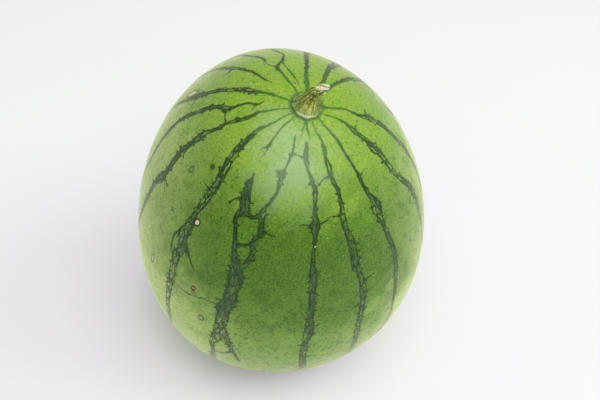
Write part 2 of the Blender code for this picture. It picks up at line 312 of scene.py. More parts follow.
@dataclass
class StripeField:
    """How far every point of the rind lies from its nearest dark strand."""

    form: RindForm
    strands: tuple[Strand, ...]
    sample_gap: float = 0.6
    reach: float = 14.0
    end_colatitude: float = 171.0
    seed: int = 11

    def continued(self, strand: Strand, draw: np.random.Generator) -> tuple[Stop, ...]:
        """A strand's stops, carried on to the blossom end where it runs on.

        Args:
            strand: The strand to carry on.
            draw: Source of the seeded wander.

        Returns:
            All its stops.
        """
        stops = list(strand.stops)
        if not strand.runs_on:
            return tuple(stops)
        bearing, colatitude, _ = stops[-1]
        wide = 1.6 + 0.8 * draw.random()
        while colatitude < self.end_colatitude:
            step = 4.0 + 4.0 * draw.random()
            colatitude = min(colatitude + step, self.end_colatitude)
            wander = 1.1 / max(math.sin(math.radians(colatitude)), 0.25)
            bearing += wander * (2.0 * draw.random() - 1.0)
            closing = min(1.0, (self.end_colatitude + 4.0 - colatitude) / 40.0)
            half = wide * closing * (0.55 + 1.1 * draw.random() ** 1.5)
            stops.append((bearing, colatitude, max(half, 0.35)))
        return tuple(stops)

    def sampled(self, stops: tuple[Stop, ...]) -> tuple[Rows, Rows]:
        """Even samples along a smooth curve through the stops.

        Args:
            stops: The strand's stops.

        Returns:
            The samples' places in millimetres, and their half widths.
        """
        table = np.array(stops, dtype=float)
        knots = self.form.directions(np.radians(table[:, 1]), np.radians(table[:, 0] - 90.0))
        padded = np.vstack((knots[:1], knots, knots[-1:]))
        places, halves = [], []
        for index in range(len(stops) - 1):
            before, start, end, after = padded[index:index + 4]
            span = np.linalg.norm(end - start) * self.form.body_radius / MM
            count = max(2, int(math.ceil(span / self.sample_gap)))
            share = np.arange(count)[:, None] / count
            square, cube = share**2, share**3
            curve = (start * (2 * cube - 3 * square + 1)
                     + (end - before) / 2 * (cube - 2 * square + share)
                     + end * (3 * square - 2 * cube) + (after - start) / 2 * (cube - square))
            places.append(curve)
            ease = (share * share * (3 - 2 * share))[:, 0]
            halves.append(table[index, 2] * (1 - ease) + table[index + 1, 2] * ease)
        directions = np.vstack(places + [knots[-1:]])
        directions /= np.linalg.norm(directions, axis=1, keepdims=True)
        return self.form.points(directions) / MM, np.concatenate(halves + [table[-1:, 2]])

    def measure(self, points: Rows, normals: Rows) -> dict[str, Rows]:
        """Strand coordinates of every point.

        Args:
            points: Points of the rind, in metres.
            normals: The skin's normals there.

        Returns:
            Vectors named strand (across, along, half width) and mark (edge distance, ink, seed).
        """
        draw = np.random.default_rng(self.seed)
        spots = points / MM
        best = np.full(len(spots), self.reach)
        strand_rows = np.zeros((len(spots), 3), dtype=np.float32)
        mark_rows = np.zeros((len(spots), 3), dtype=np.float32)
        mark_rows[:, 0] = self.reach
        for number, strand in enumerate(self.strands):
            line, half = self.sampled(self.continued(strand, draw))
            low, high = line.min(axis=0) - self.reach, line.max(axis=0) + self.reach
            near = np.flatnonzero(np.all((spots > low) & (spots < high), axis=1))
            tree = kdtree.KDTree(len(line))
            for index, place in enumerate(line):
                tree.insert(place, index)
            tree.balance()
            found = [tree.find(spots[index]) for index in near]
            hit = np.array([item[1] for item in found], dtype=int)
            tangent = np.gradient(line, axis=0)
            tangent /= np.linalg.norm(tangent, axis=1, keepdims=True)
            along = np.concatenate(([0.0], np.cumsum(np.linalg.norm(np.diff(line, axis=0), axis=1))))
            offset = spots[near] - line[hit]
            forward = np.clip(np.einsum("ij,ij->i", offset, tangent[hit]), -0.5, 0.5)
            side = np.cross(tangent[hit], normals[near])
            across = np.einsum("ij,ij->i", offset, side)
            distance = np.linalg.norm(offset - tangent[hit] * forward[:, None], axis=1)
            edge = distance - half[hit]
            better = edge < best[near]
            chosen = near[better]
            best[chosen] = edge[better]
            strand_rows[chosen] = np.stack((across, along[hit] + forward, half[hit]), axis=1)[better]
            mark_rows[chosen, 0] = edge[better]
            mark_rows[chosen, 1] = strand.ink
            mark_rows[chosen, 2] = number
        return {"strand": strand_rows, "mark": mark_rows}


# --- shader building


class Graph:
    """Adds shader nodes to one tree and joins them."""

    def __init__(self, tree: Tree) -> None:
        """Keep the tree that nodes go in."""
        self.tree = tree

    def node(self, kind: str, **settings: object) -> Node:
        """Add a node and set its plain properties."""
        made = self.tree.nodes.new(kind)
        for name, value in settings.items():
            setattr(made, name, value)
        return made

    def feed(self, target: Socket, value: object) -> None:
        """Join a socket to an input, or set the input's own value."""
        if isinstance(value, Socket):
            self.tree.links.new(value, target)
        else:
            target.default_value = value

    def math(self, operation: str, first: object, second: object = 0.0, clamp: bool = False) -> Socket:
        """A Math node's result."""
        made = self.node("ShaderNodeMath", operation=operation, use_clamp=clamp)
        self.feed(made.inputs[0], first)
        self.feed(made.inputs[1], second)
        return made.outputs[0]

    def times(self, first: object, *others: object) -> Socket:
        """The product of the values."""
        for other in others:
            first = self.math("MULTIPLY", first, other)
        return first

    def plus(self, first: object, *others: object) -> Socket:
        """The sum of the values."""
        for other in others:
            first = self.math("ADD", first, other)
        return first

    def less(self, first: object, second: object) -> Socket:
        """The first value less the second."""
        return self.math("SUBTRACT", first, second)

    def most(self, first: object, *others: object) -> Socket:
        """The greatest of the values."""
        for other in others:
            first = self.math("MAXIMUM", first, other)
        return first

    def swing(self, value: object, size: float) -> Socket:
        """A value from 0 to 1 turned into one that swings about nothing."""
        return self.times(self.less(value, 0.5), size)

    def fill(self, made: Node, **values: object) -> None:
        """Join or set a node's inputs, named with _ for each space."""
        for name, value in values.items():
            self.feed(made.inputs[name.replace("_", " ")], value)

    def fade(self, value: object, start: float, end: float, low: float = 0.0, high: float = 1.0) -> Socket:
        """Smooth step of a value from start to end, into low to high."""
        made = self.node("ShaderNodeMapRange", interpolation_type="SMOOTHSTEP")
        self.fill(made, Value=value, From_Min=start, From_Max=end, To_Min=low, To_Max=high)
        return made.outputs["Result"]

    def mix(self, factor: object, first: object, second: object, blend: str = "MIX") -> Socket:
        """Mix of two colours."""
        made = self.node("ShaderNodeMix", data_type="RGBA", blend_type=blend)
        self.feed(made.inputs[0], factor)
        self.feed(made.inputs[6], first)
        self.feed(made.inputs[7], second)
        return made.outputs[2]

    def noise(self, vector: object, scale: float, detail: float = 2.0, rough: float = 0.5) -> Node:
        """A Noise Texture node."""
        made = self.node("ShaderNodeTexNoise")
        self.fill(made, Vector=vector, Scale=scale, Detail=detail, Roughness=rough)
        return made

    def cells(self, vector: object, scale: float, feature: str = "DISTANCE_TO_EDGE") -> Node:
        """A Voronoi Texture node."""
        made = self.node("ShaderNodeTexVoronoi", feature=feature)
        self.fill(made, Vector=vector, Scale=scale)
        return made

    def vector(self, operation: str, first: object, second: object = (0.0, 0.0, 0.0)) -> Socket:
        """A Vector Math node's vector result."""
        made = self.node("ShaderNodeVectorMath", operation=operation)
        self.feed(made.inputs[0], first)
        self.feed(made.inputs[1], second)
        return made.outputs["Value" if operation in ("LENGTH", "DISTANCE", "DOT_PRODUCT") else "Vector"]

    def scaled(self, vector: object, factor: object) -> Socket:
        """A vector times a number."""
        made = self.node("ShaderNodeVectorMath", operation="SCALE")
        self.fill(made, Vector=vector, Scale=factor)
        return made.outputs["Vector"]

    def parts(self, vector: object) -> tuple[Socket, ...]:
        """The x, y and z of a vector."""
        made = self.node("ShaderNodeSeparateXYZ")
        self.feed(made.inputs[0], vector)
        return tuple(made.outputs)

    def joined(self, x: object, y: object, z: object = 0.0) -> Socket:
        """A vector of three numbers."""
        made = self.node("ShaderNodeCombineXYZ")
        for target, value in zip(made.inputs, (x, y, z)):
            self.feed(target, value)
        return made.outputs[0]

    def attribute(self, name: str) -> Socket:
        """A vector attribute of the piece."""
        return self.node("ShaderNodeAttribute", attribute_name=name).outputs["Vector"]

    def place(self) -> Socket:
        """The place on the piece, in millimetres."""
        return self.scaled(self.node("ShaderNodeTexCoord").outputs["Object"], 1.0 / MM)

    def relief(self, height: object, strength: float, depth: float) -> Socket:
        """A bumped normal; the depth is in millimetres."""
        made = self.node("ShaderNodeBump")
        self.fill(made, Height=height, Strength=strength, Distance=depth * MM)
        return made.outputs[0]


def new_material(name: str) -> tuple[bpy.types.Material, Graph, Node]:
    """A material with its graph and its Principled shader."""
    material = bpy.data.materials.new(name)
    material.use_nodes = True
    graph = Graph(material.node_tree)
    return material, graph, material.node_tree.nodes["Principled BSDF"]


def new_group(name: str, vectors: str, numbers: str, results: str) -> tuple[Tree, Graph, Node, Node]:
    """An empty node group.

    Args:
        name: The group's name.
        vectors: Names of its vector inputs, with spaces between.
        numbers: Names of its number inputs.
        results: Names of its number outputs.

    Returns:
        The group, its graph, its input node and its output node.
    """
    tree = bpy.data.node_groups.new(name, "ShaderNodeTree")
    kinds = (("INPUT", "Vector", vectors), ("INPUT", "Float", numbers), ("OUTPUT", "Float", results))
    for way, kind, names in kinds:
        for each in names.split():
            tree.interface.new_socket(each, in_out=way, socket_type=f"NodeSocket{kind}")
    graph = Graph(tree)
    return tree, graph, graph.node("NodeGroupInput"), graph.node("NodeGroupOutput")


def mottle_group() -> Tree:
    """Uneven skin in three scales, for the rind and for the stalk.

    Returns:
        A node group with inputs Place (millimetres) and Scale, and outputs
        Grain, Flecks and Patches, all from 0 to 1.
    """
    tree, graph, given, result = new_group("mottle", "Place", "Scale", "Grain Flecks Patches")
    place = graph.scaled(given.outputs["Place"], given.outputs["Scale"])
    grain = graph.noise(place, 1.1, detail=3.0, rough=0.65)
    flecks = graph.noise(graph.vector("MULTIPLY", place, (1.0, 1.0, 1.9)), 0.6, detail=3.0, rough=0.65)
    patches = graph.noise(place, 0.055, detail=4.0, rough=0.6)
    graph.fill(
        result,
        Grain=graph.fade(grain.outputs[0], 0.32, 0.68),
        Flecks=graph.fade(flecks.outputs[0], 0.36, 0.66),
        Patches=graph.fade(patches.outputs[0], 0.3, 0.7),
    )
    return tree


def scar_and_glint_group() -> Tree:
    """A round mark on the skin, used for healed scars and for painted glints: its core and its dark rim.

    Returns:
        A node group with inputs Place, Centre, Run (unit vector), Slim and
        Size, and outputs Core and Rim, both from 0 to 1.
    """
    tree, graph, given, result = new_group("scar_or_glint", "Place Centre Run", "Slim Size", "Core Rim")
    offset = graph.vector("SUBTRACT", given.outputs["Place"], given.outputs["Centre"])
    along = graph.vector("DOT_PRODUCT", offset, given.outputs["Run"])
    shortened = graph.scaled(given.outputs["Run"], graph.times(along, given.outputs["Slim"]))
    away = graph.vector("LENGTH", graph.vector("SUBTRACT", offset, shortened))
    away = graph.math("DIVIDE", away, given.outputs["Size"])
    from_rim = graph.math("ABSOLUTE", graph.less(away, 0.95))
    graph.fill(result, Core=graph.fade(away, 0.85, 0.6), Rim=graph.fade(from_rim, 0.55, 0.1))
    return tree


@dataclass(frozen=True)
class ScarOrGlint:
    """A small mark on the skin, most a healed scar and two a painted glint: bearing and angle from the
    stalk in degrees, size in millimetres.
    """

    bearing: float
    colatitude: float
    size: float
    slim: float
    colour: Colour
    rim: float = 0.8


SCARS_AND_GLINTS: tuple[ScarOrGlint, ...] = (
    ScarOrGlint(-46.5, 57.5, 1.7, 0.25, tint(232, 206, 156)),
    ScarOrGlint(-59.0, 87.5, 1.3, 0.65, tint(196, 190, 160)),
    ScarOrGlint(-36.5, 79.5, 1.3, 0.3, tint(140, 132, 96), 1.0),
    ScarOrGlint(-30.3, 90.0, 1.5, 0.35, tint(160, 160, 118)),
    ScarOrGlint(-108.0, 22.0, 1.1, 0.6, tint(140, 136, 100), 0.5),
    ScarOrGlint(-108.5, 26.0, 0.7, 0.5, tint(130, 128, 92), 0.5),
    ScarOrGlint(-112.0, 50.0, 1.7, 0.7, tint(212, 202, 166), 0.5),
    ScarOrGlint(-65.5, 48.0, 1.3, 0.3, tint(128, 150, 84), 0.8),
    ScarOrGlint(-58.0, 40.5, 1.3, 0.1, tint(54, 92, 36), 0.7),
    ScarOrGlint(-101.0, 38.5, 0.4, 0.9, tint(186, 204, 140), 0.0),
    # Painted highlights: two small white glints on the waxy skin, drawn as marks with no rim.
    ScarOrGlint(10.0, 49.5, 0.55, 0.1, tint(244, 246, 240), 0.0),
    ScarOrGlint(16.7, 47.0, 0.45, 0.1, tint(226, 232, 210), 0.0),
    ScarOrGlint(-60.0, 63.0, 1.0, 0.0, tint(96, 136, 48), 0.6),
    ScarOrGlint(64.0, 66.0, 0.9, 0.3, tint(150, 150, 108), 0.8),
    ScarOrGlint(150.0, 74.0, 1.5, 0.5, tint(188, 176, 132)),
    ScarOrGlint(-150.0, 96.0, 1.1, 0.2, tint(150, 146, 104)),
    ScarOrGlint(118.0, 104.0, 1.3, 0.6, tint(176, 166, 124)),
    ScarOrGlint(0.0, 180.0, 3.0, 0.0, tint(142, 128, 84)),
)


# --- finishes


@dataclass(frozen=True)
class RindFinish:
    """Colours and gloss of the rind."""

    heart: Colour = tint(122, 180, 30)
    crown: Colour = tint(154, 186, 66)
    shoulder: Colour = tint(118, 160, 54)
    # Paler flanks: partly the skin's own colour and partly a painted reflection of the bright room at the
    # edges.
    flank_and_edge_reflection: Colour = tint(192, 214, 118)
    # Deep green of the belly: partly the skin's own colour and partly painted shade.
    belly_and_shade: Colour = tint(54, 104, 4)
    lush: Colour = tint(92, 150, 22)
    far_end: Colour = tint(146, 168, 100)
    light_fleck: Colour = tint(174, 200, 88)
    dark_fleck: Colour = tint(52, 96, 22)
    # Pale patch colour: partly the skin's waxy bloom and partly a painted highlight of the overhead lamp.
    bloom_and_highlight: Colour = tint(176, 206, 158)
    stripe: Colour = tint(74, 100, 60)
    vein: Colour = tint(16, 50, 6)
    # Greener stripes near the stalk, and painted shade in a ring round the stalk's foot.
    collar_green_and_foot_shade: Colour = tint(70, 126, 62)
    roughness: float = 0.38
    specular: float = 0.2
    sheen: float = 0.62
    sheen_roughness: float = 0.32
    sheen_tint: Colour = (0.95, 1.0, 0.6, 1.0)
    relief_strength: float = 0.25
    relief_depth: float = 0.15
    cover: float = 0.97
    thorn_gap: float = 5.0
    thorn_length: float = 2.1

    def build(self, mottle: Tree, form: RindForm) -> bpy.types.Material:
        """Make the rind's material.

        Args:
            mottle: The shared group of skin unevenness.
            form: The fruit's form, for the places of its ends.

        Returns:
            The material.
        """
        material, graph, shader = new_material("rind")
        spot = graph.place()
        skin = graph.node("ShaderNodeGroup", node_tree=mottle)
        graph.fill(skin, Place=spot, Scale=1.0)
        cloud = graph.noise(spot, 0.35).outputs["Color"]
        warp = graph.vector("SUBTRACT", cloud, (0.5, 0.5, 0.5))

        colour = self.ground(graph, spot, skin, warp, form)
        wax_and_highlight = self.wax_and_highlight(graph, spot, skin, form)
        # Painted highlight: the pale patch on the front shoulder is partly real waxy bloom and partly a
        # painted highlight.
        colour = graph.mix(wax_and_highlight, colour, self.bloom_and_highlight)
        dark, vein = self.stripes(graph, spot, skin, warp)
        marks = graph.mix(vein, self.stripe, self.vein)
        # The painted highlight and bloom also pale the stripes there.
        marks = graph.mix(graph.times(wax_and_highlight, 0.6), marks, self.bloom_and_highlight)
        away = graph.vector("DISTANCE", spot, tuple(form.at(0.0, 0.0) / MM))
        marks = graph.mix(graph.fade(away, 44.0, 12.0, 0.0, 0.55), marks, self.collar_green_and_foot_shade)
        dark = graph.times(dark, graph.fade(away, 10.0, 38.0, 0.85, 1.0))
        colour = graph.mix(dark, colour, marks)
        # Painted shade: a dark ring round the stalk's foot, where the foot meets the rind.
        uneven = graph.plus(away, skin.outputs["Flecks"])
        colour = graph.mix(graph.fade(uneven, 11.2, 9.8, 0.0, 0.8), colour, self.collar_green_and_foot_shade)
        colour = self.scarred_and_glinted(graph, graph.vector("ADD", spot, graph.scaled(warp, 1.2)), colour, form)
        dull, bright = self.roughness + 0.06, self.roughness - 0.05
        rough = graph.fade(skin.outputs["Patches"], 0.0, 1.0, bright, dull)
        height = graph.less(skin.outputs["Grain"], graph.times(dark, 0.6))
        graph.fill(
            shader,
            Base_Color=colour,
            Roughness=rough,
            Specular_IOR_Level=self.specular,
            Sheen_Weight=self.sheen,
            Sheen_Roughness=self.sheen_roughness,
            Sheen_Tint=self.sheen_tint,
            Normal=graph.relief(height, self.relief_strength, self.relief_depth),
        )
        return material

    def scarred_and_glinted(self, graph: Graph, spot: Socket, colour: Socket,
                form: RindForm) -> Socket:
        """The colour with every healed scar and painted glint laid over it."""
        group = scar_and_glint_group()
        for scar_or_glint in SCARS_AND_GLINTS:
            made = graph.node("ShaderNodeGroup", node_tree=group)
            centre = form.at(scar_or_glint.bearing, scar_or_glint.colatitude) / MM
            near, far = (form.at(scar_or_glint.bearing, scar_or_glint.colatitude + step) for step in (-1.0, 1.0))
            run = (far - near).normalized()
            graph.fill(made, Place=spot, Centre=centre, Run=run, Slim=scar_or_glint.slim, Size=scar_or_glint.size)
            colour = graph.mix(graph.times(made.outputs["Rim"], scar_or_glint.rim), colour, self.vein)
            colour = graph.mix(made.outputs["Core"], colour, scar_or_glint.colour)
        return colour

    def wax_and_highlight(self, graph: Graph, spot: Socket, skin: Node,
             form: RindForm) -> Socket:
        """How thick the pale patch lies on the front shoulder: partly waxy bloom and partly a painted
        highlight.
        """
        place = form.at(-10.0, 22.0) / MM
        flat = graph.vector("MULTIPLY", spot, (1.0, 0.8, 0.8))
        away = graph.vector("DISTANCE", flat, (place.x, place.y * 0.8, place.z * 0.8))
        drift = graph.swing(skin.outputs["Patches"], 12.0)
        return graph.fade(graph.plus(away, drift), 33.0, 2.0, 0.0, 0.52)

    def ground(self, graph: Graph, spot: Socket, skin: Node,
               warp: Socket, form: RindForm) -> Socket:
        """The green between the stripes, with a painted reflection paling its edges and painted shade low
        on the front.
        """
        axis = tuple(form.growth[:, 2])
        middle = graph.vector("SUBTRACT", spot, (0.0, 0.0, form.rest_height / MM))
        drift = graph.swing(skin.outputs["Patches"], 16.0)
        level = graph.plus(graph.vector("DOT_PRODUCT", middle, axis), drift)
        front = graph.plus(graph.vector("DOT_PRODUCT", middle, (0.12, -0.99, 0.0)), drift)
        colour = graph.mix(graph.fade(level, 76.0, 108.0), self.shoulder, self.crown)
        rear = graph.times(graph.fade(front, -8.0, -46.0, 0.0, 0.6), graph.fade(level, 114.0, 98.0))
        colour = graph.mix(rear, colour, self.flank_and_edge_reflection)
        blotch = graph.noise(spot, 0.22, detail=1.0).outputs[0]
        lime = graph.times(
            graph.fade(level, 84.0, 112.0, 0.15, 1.0),
            graph.fade(level, 70.0, 90.0, 0.0, 0.8),
            graph.fade(blotch, 0.42, 0.62),
        )
        colour = graph.mix(lime, colour, self.heart)
        colour = graph.mix(graph.fade(level, 10.0, -60.0), colour, self.far_end)
        left = graph.less(drift, graph.parts(middle)[0])
        # Painted reflection: the skin turns paler towards the left and right edges as seen from the front,
        # partly its own paler colour and partly painted reflection.
        pale_sides_and_reflection = graph.most(
            graph.fade(front, 42.0, 4.0, 0.0, 0.85),
            graph.fade(left, 12.0, 68.0, 0.0, 0.9),
            graph.fade(left, -44.0, -84.0, 0.0, 0.7),
        )
        below = graph.fade(level, 96.0, 66.0)
        behind = graph.most(graph.fade(front, -30.0, -84.0, 1.0, 0.4), graph.fade(level, 25.0, 62.0))
        pale_sides_and_reflection = graph.times(pale_sides_and_reflection, below, behind)
        colour = graph.mix(pale_sides_and_reflection, colour, self.flank_and_edge_reflection)
        # Painted shade: the dark band low on the front is partly the skin's deeper green and partly
        # painted shade.
        belly_and_shade_band = graph.times(below, graph.fade(level, -12.0, 40.0), graph.fade(front, 0.0, 84.0, 0.12, 1.0))
        colour = graph.mix(belly_and_shade_band, colour, self.belly_and_shade)

        rich = graph.noise(spot, 0.04, detail=3.0, rough=0.6).outputs[0]
        right = graph.times(graph.fade(left, -5.0, -60.0, 0.0, 0.25), graph.fade(level, 66.0, 92.0))
        rich = graph.times(
            graph.fade(rich, 0.5, 0.68),
            graph.fade(level, 104.0, 84.0, 0.25, 0.45),
            graph.fade(front, 0.0, 44.0, 0.35, 1.0),
        )
        colour = graph.mix(graph.most(rich, right), colour, self.lush)
        light = graph.times(skin.outputs["Grain"], graph.fade(level, 74.0, 104.0, 0.3, 0.45))
        colour = graph.mix(light, colour, self.light_fleck)
        colour = graph.mix(graph.times(skin.outputs["Flecks"], 0.3), colour, self.dark_fleck)
        bent = graph.vector("ADD", spot, graph.scaled(warp, 5.0))
        lace = graph.fade(graph.cells(bent, 0.13).outputs["Distance"], 0.055, 0.012)
        curls = graph.fade(graph.cells(bent, 0.3).outputs["Distance"], 0.1, 0.03)
        lace = graph.times(lace, graph.fade(skin.outputs["Patches"], 0.2, 0.8, 0.15, 0.5))
        curls = graph.times(curls, graph.fade(blotch, 0.54, 0.62), 0.75)
        faint = graph.fade(pale_sides_and_reflection, 0.1, 0.85, 1.0, 0.55)
        drawn = graph.times(graph.most(lace, curls), graph.fade(level, 98.0, 74.0), faint)
        colour = graph.mix(drawn, colour, self.dark_fleck)
        for size, least in ((0.75, 0.4), (0.34, 0.72)):
            speck = graph.cells(spot, size, feature="F1")
            keep = graph.fade(graph.parts(speck.outputs["Color"])[0], least, least + 0.3, 0.0, 0.75)
            dot = graph.times(graph.fade(speck.outputs["Distance"], 0.34, 0.16), keep)
            colour = graph.mix(dot, colour, self.dark_fleck)
        return colour

    def thorns(self, graph: Graph, across: object, along: object, seed: object,
               warp: Socket) -> Socket:
        """How far a thin spur carries the stripe out past its edge, in millimetres."""
        lean = graph.times(graph.parts(warp)[0], 3.0)
        walk = graph.math("DIVIDE", graph.plus(along, lean), self.thorn_gap)
        walk = graph.plus(walk, graph.times(graph.math("SIGN", across), 31.0), graph.times(seed, 7.3))
        row = graph.node("ShaderNodeTexVoronoi", voronoi_dimensions="1D", feature="F1")
        graph.fill(row, W=walk, Scale=1.0)
        spike = graph.fade(row.outputs["Distance"], 0.26, 0.0)
        tall, keep, _ = graph.parts(row.outputs["Color"])
        height = graph.times(graph.fade(keep, 0.45, 0.55), graph.plus(tall, 0.35))
        return graph.times(spike, height, self.thorn_length)

    def stripes(self, graph: Graph, spot: Socket, skin: Node,
                warp: Socket) -> tuple[Socket, ...]:
        """How dark the stripes are.

        Returns:
            The body of the stripe, and its outline and veins.
        """
        across, along, half = graph.parts(graph.attribute("strand"))
        edge, ink, seed = graph.parts(graph.attribute("mark"))
        side = graph.less(graph.math("ABSOLUTE", across), half)
        edge = graph.most(side, graph.less(edge, 0.8))
        tear = graph.noise(spot, 0.42, detail=3.0, rough=0.6)
        room = graph.plus(graph.times(half, 0.9), 0.7)
        ragged = graph.times(graph.less(tear.outputs[0], 0.5), room)
        spurs = self.thorns(graph, across, along, seed, warp)
        out = graph.times(spurs, graph.fade(half, 0.6, 2.2, 0.2, 1.0))
        torn = graph.less(graph.plus(edge, ragged), out)

        body = graph.fade(torn, 0.5, -0.45)
        place = graph.joined(graph.times(across, 0.5), graph.times(along, 0.15), seed)
        place = graph.vector("ADD", place, graph.scaled(warp, 0.9))
        braid = graph.cells(place, 1.0)
        chosen = graph.parts(graph.cells(place, 1.0, feature="F1").outputs["Color"])[0]
        line = graph.fade(braid.outputs["Distance"], 0.24, 0.0, 0.0, 0.85)
        window = graph.times(
            graph.fade(braid.outputs["Distance"], 0.08, 0.22),
            graph.fade(graph.less(chosen, ink), -0.48, -0.2),
            graph.fade(half, 0.8, 1.9, 0.15, 1.0),
        )
        rim = graph.fade(graph.math("ABSOLUTE", graph.plus(torn, 0.5)), 1.1, 0.2)
        uneven = graph.fade(skin.outputs["Flecks"], 0.2, 0.8, 1.0, 0.6)
        vein = graph.times(graph.most(line, rim), uneven)
        inner = graph.times(graph.fade(torn, -0.3, -1.1), window, 0.85)
        return graph.math("MULTIPLY", body, graph.less(self.cover, inner), clamp=True), vein


@dataclass(frozen=True)
class StalkFinish:
    """Colours of the dried stalk stub."""

    ridge: Colour = tint(196, 204, 104)
    groove: Colour = tint(80, 96, 24)
    foot: Colour = tint(120, 152, 92)
    bleached: Colour = tint(240, 240, 200)
    shade: Colour = tint(140, 128, 76)
    brown: Colour = tint(84, 72, 34)
    moss: Colour = tint(36, 74, 34)
    callus: Colour = tint(214, 226, 184)
    roughness: float = 0.75
    specular: float = 0.25
    relief_strength: float = 0.6
    relief_depth: float = 0.25

    def build(self, mottle: Tree) -> bpy.types.Material:
        """Make the stalk's material from its own attributes.

        Args:
            mottle: The shared group of skin unevenness.

        Returns:
            The material.
        """
        material, graph, shader = new_material("stalk")
        spot = graph.place()
        skin = graph.node("ShaderNodeGroup", node_tree=mottle)
        graph.fill(skin, Place=spot, Scale=1.6)
        ridge, share, bleach = graph.parts(graph.attribute("fibre"))
        brown, moss, callus = graph.parts(graph.attribute("wear"))
        lines = graph.noise(graph.attribute("lay"), 1.0, detail=3.0, rough=0.7).outputs[0]
        height = graph.plus(ridge, graph.swing(lines, 7.0), graph.swing(skin.outputs["Grain"], 2.0))
        colour = graph.mix(graph.fade(height, -1.1, 1.3), self.groove, self.ridge)
        low = graph.fade(graph.plus(share, graph.times(ridge, 0.03)), 0.14, 0.03, 0.0, 0.5)
        colour = graph.mix(low, colour, self.foot)
        pale = graph.mix(graph.fade(height, -0.9, 0.1), self.shade, self.bleached)
        colour = graph.mix(graph.fade(bleach, 0.3, 0.7), colour, pale)
        rough = graph.less(skin.outputs["Flecks"], 0.5)
        crust = graph.fade(graph.plus(callus, graph.times(rough, 1.1)), 0.45, 0.8)
        colour = graph.mix(crust, colour, self.callus)
        for mask, ink in ((brown, self.brown), (moss, self.moss)):
            worn = graph.fade(graph.plus(mask, graph.times(rough, 0.5)), 0.25, 0.65, 0.0, 0.9)
            colour = graph.mix(worn, colour, ink)
        colour = graph.mix(graph.times(skin.outputs["Flecks"], 0.3), colour, self.groove)
        graph.fill(
            shader,
            Base_Color=colour,
            Roughness=self.roughness,
            Specular_IOR_Level=self.specular,
            Normal=graph.relief(lines, self.relief_strength, self.relief_depth),
        )
        return material


# --- the pieces


def deselect_all() -> None:
    """Leave nothing selected and nothing active."""
    for thing in bpy.context.selected_objects:
        thing.select_set(False)
    bpy.context.view_layer.objects.active = None


def point_rows(mesh: bpy.types.Mesh) -> Rows:
    """A mesh's points as rows."""
    rows = np.empty(len(mesh.vertices) * 3, dtype=np.float32)
    mesh.vertices.foreach_get("co", rows)
    return rows.reshape(-1, 3).astype(float)


def store(mesh: bpy.types.Mesh, name: str, rows: Rows) -> None:
    """Write one vector for each vertex as a named attribute."""
    layer = mesh.attributes.new(name, "FLOAT_VECTOR", "POINT")
    layer.data.foreach_set("vector", np.ascontiguousarray(rows, dtype=np.float32).ravel())


@dataclass
class Fruit:
    """The rind, as one fine closed skin."""

    form: RindForm = field(default_factory=RindForm)
    finish: RindFinish = field(default_factory=RindFinish)
    segments: int = 340
    rings: int = 286
    inset: float = 0.12

    def build(self, mottle: Tree) -> Piece:
        """Model and dress the rind.

        Args:
            mottle: The shared group of skin unevenness.

        Returns:
            The finished piece.
        """
        deselect_all()
        bpy.ops.mesh.primitive_uv_sphere_add(segments=self.segments, ring_count=self.rings, radius=1.0)
        rind = bpy.context.object
        rind.name = "rind"
        mesh = rind.data
        mesh.uv_layers[0].name = "OFBake"
        count = len(mesh.vertices)
        unit = point_rows(mesh)
        unit /= np.linalg.norm(unit, axis=1, keepdims=True)
        skin = self.form.points(unit @ self.form.growth.T)
        middle = np.array([0.0, 0.0, self.form.rest_height])
        skin = middle + (skin - middle) * (1.0 - self.inset * MM / self.form.body_radius)
        skin[:, 2] = np.maximum(skin[:, 2], 0.0)
        mesh.vertices.foreach_set("co", skin.astype(np.float32).ravel())
        mesh.update()
        mesh.shade_smooth()
        normals = np.empty(count * 3, dtype=np.float32)
        mesh.vertex_normals.foreach_get("vector", normals)
        stripes = StripeField(self.form, STRANDS).measure(skin, normals.reshape(-1, 3).astype(float))
        for name, rows in stripes.items():
            store(mesh, name, rows)
        mesh.materials.clear()
        mesh.materials.append(self.finish.build(mottle, self.form))
        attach(rind, ROOT)
        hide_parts("fruit")
        LOG.info("rind: %d vertices", count)
        return rind


@dataclass(frozen=True)
class Hollow:
    """A worn place on the stalk: its share of the length, its angle and its reach."""

    share: float
    angle: float
    share_reach: float
    angle_reach: float
    depth: float

    def mask(self, share: Rows, angle: Rows) -> Rows:
        """Strength from 0 to 1 at shares and angles (degrees from the front, to the right)."""
        turn = (angle - self.angle + 180.0) % 360.0 - 180.0
        return np.exp(-(((share - self.share) / self.share_reach) ** 2 + (turn / self.angle_reach) ** 2))


